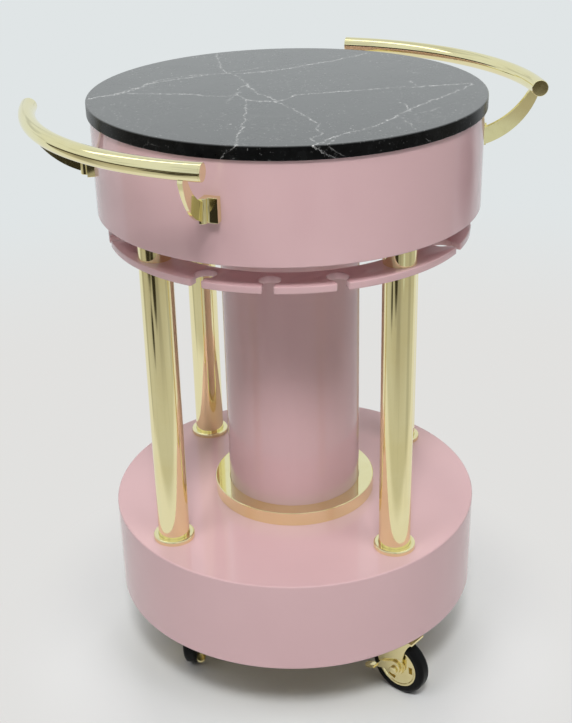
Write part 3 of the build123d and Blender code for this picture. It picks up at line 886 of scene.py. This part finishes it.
def stageFloor():
    look, mirror = stageLook, paintedReflectionLook
    material, web = newFinish("paleFloor")
    place = web.place()
    seen, glossy = rays(web)
    away = web.far(place)
    forward, aside = facing(web, place)
    # painted reflection: the streaks, dark strip, stops and patches below tint the floor only as polished
    # metal sees it
    streak = web.steps(web.noise(web.vector("NORMALIZE", place), *mirror["streak"]), *mirror["streakEdges"])
    streak = streak * web.steps(away, *mirror["streakStart"]) * mirror["streakShare"]
    # painted shade in the reflection: the dark strip of floor under the camera
    shade = web.fades(aside, *mirror["shadeAside"]) * web.steps(forward, *mirror["shadeAhead"])
    shade = shade * mirror["shadeShare"]
    ahead = web.far(web.node("ShaderNodeCombineXYZ", None, [forward.most(0.0), aside * mirror["sideways"]]))
    ramp = web.node("ShaderNodeValToRGB", {"stops": mirror["stops"]}, [ahead / mirror["reach"]])
    dim = web.steps(forward + aside * mirror["dimSlope"], *mirror["dimEdges"]) * glossy
    faint = web.blend(web.steps(away, *look["far"]), look["pale"], look["backdrop"])
    tone = web.blend(dim, faint, web.blend(streak.most(shade), ramp, mirror["dark"]))
    for middle, edges, patch in paintedReflectionPatches.values():
        tone = web.blend(web.fades(web.far(place, middle), *edges) * glossy, tone, mirror[patch])
    wear = web.steps(web.noise(place, *look["wear"]), *look["wearEdges"]) * look["wearShare"]
    lit = web.node("ShaderNodeBsdfDiffuse", None, {"Color": web.blend(wear, look["floor"], look["worn"])})
    # the floor glows evenly pale where the camera sees it, and with the painted reflection tones in polished
    # metal
    glow = web.node("ShaderNodeEmission", None, {"Color": tone})
    near = web.steps(away, *mirror["edge"]) * glossy
    beyond = web.steps(away, *look["edge"]).most(dim).most(near) * seen
    web.close(web.node("ShaderNodeMixShader", None, [beyond, lit, glow]))
    bpy.ops.mesh.primitive_plane_add(size=look["size"])
    floor = bpy.context.object
    floor.name = "floor"
    floor.data.materials.append(material)


def backdrop():
    look, mirror = stageLook, paintedReflectionLook
    world = bpy.data.worlds.new("softBackdrop")
    bpy.context.scene.world = world
    web = Web(world)
    seen, glossy = rays(web)
    heading = web.node("ShaderNodeTexCoord").out("Generated")
    height = web.split(heading).out("Z")
    forward, aside = facing(web, heading)
    # painted reflection: dark bands and shade behind the camera tint the backdrop only as polished metal sees
    # it
    bands = web.noise(web.stretched(heading, mirror["bandStretch"]), *mirror["band"])
    streak = web.steps(bands, *mirror["bandEdges"]) * mirror["bandShare"]
    paintedBackShade = web.fades(aside, *mirror["duskAside"]) * web.steps(forward, *mirror["duskAhead"])
    paintedBackShade = paintedBackShade * web.fades(height, *mirror["duskHeight"]) * mirror["duskShare"]
    # painted reflection: the pale backdrop, darkened by the bands and back shade where polished metal sees it
    tone = web.blend(streak.most(paintedBackShade) * glossy, look["backdrop"], mirror["dark"])
    fill = web.node("ShaderNodeBackground", None, {"Color": rgb(1, 1, 1), "Strength": look["fill"]})
    view = web.node("ShaderNodeBackground", None, {"Color": tone})
    web.close(web.node("ShaderNodeMixShader", None, [seen, fill, view]), "ShaderNodeOutputWorld")


lampAim = Vector((0, 0, 0.5))  # azimuth, elevation and distance are from here
lampTable = {
    "left": {"azimuth": 185, "elevation": 54, "distance": 7.0, "size": (3.6, 3.6), "watts": 160,
             "mirrored": False},
    "right": {"azimuth": 278, "elevation": 54, "distance": 7.0, "size": (3.4, 3.4), "watts": 146,
              "mirrored": False},
    "front": {"azimuth": 231, "elevation": 55.5, "distance": 7.0, "size": (1.2, 1.2), "watts": 236,
              "mirrored": False},
    "low": {"azimuth": 231, "elevation": 18, "distance": 7.0, "size": (2.4, 2.4), "watts": 14,
            "mirrored": False},
    "back": {"azimuth": 51, "elevation": 40, "distance": 7.0, "size": (4.4, 4.4), "watts": 218,
             "mirrored": False},
    "strip": {"azimuth": 78, "elevation": 78, "distance": 2.45, "size": (4.4, 0.3), "watts": 7,
              "mirrored": True},
}


def lamps():
    along = Vector((-toCamera[1], toCamera[0], 0))  # long side square to the camera
    for name, spot in lampTable.items():
        data = bpy.data.lights.new(name, "AREA")
        data.shape = "RECTANGLE"
        data.size, data.size_y = spot["size"]
        data.energy = spot["watts"]
        lamp = bpy.data.objects.new(name, data)
        bpy.context.scene.collection.objects.link(lamp)
        flat, high = math.radians(spot["azimuth"]), math.radians(spot["elevation"])
        away = Vector((math.cos(high) * math.cos(flat), math.cos(high) * math.sin(flat), math.sin(high)))
        lamp.location = lampAim + away * spot["distance"]
        lamp.visible_glossy = spot["mirrored"]
        across = away.cross(along).normalized()
        lamp.rotation_euler = Matrix((across.cross(away), across, away)).transposed().to_euler()


def photoCamera():
    spot = cameraPlace
    right, ahead, up = Vector((1, 0, 0)), Vector((0, 1, 0)), Vector((0, 0, 1))
    c, s = math.cos(spot["pan"]), math.sin(spot["pan"])
    right, ahead = c * right + s * ahead, c * ahead - s * right
    c, s = math.cos(spot["pitch"]), math.sin(spot["pitch"])
    ahead, up = c * ahead - s * up, c * up + s * ahead
    c, s = math.cos(spot["roll"]), math.sin(spot["roll"])
    right, up = c * right + s * up, c * up - s * right
    turn = Matrix.Rotation(math.radians(spot["azimuth"]), 3, "Z")
    right, ahead, up = turn @ right, turn @ ahead, turn @ up
    data = bpy.data.cameras.new("photoCamera")
    data.lens = data.sensor_width * spot["focal"] / spot["tall"]
    camera = bpy.data.objects.new("photoCamera", data)
    bpy.context.scene.collection.objects.link(camera)
    rows = Matrix((right, up, -ahead)).transposed().to_4x4()
    camera.matrix_world = Matrix.Translation(Vector(spot["stand"]) * mm) @ rows
    bpy.context.scene.camera = camera


stageFloor()
backdrop()
lamps()
photoCamera()
bpy.context.scene.view_settings.view_transform = "Standard"
print("stage, lamps and camera made")
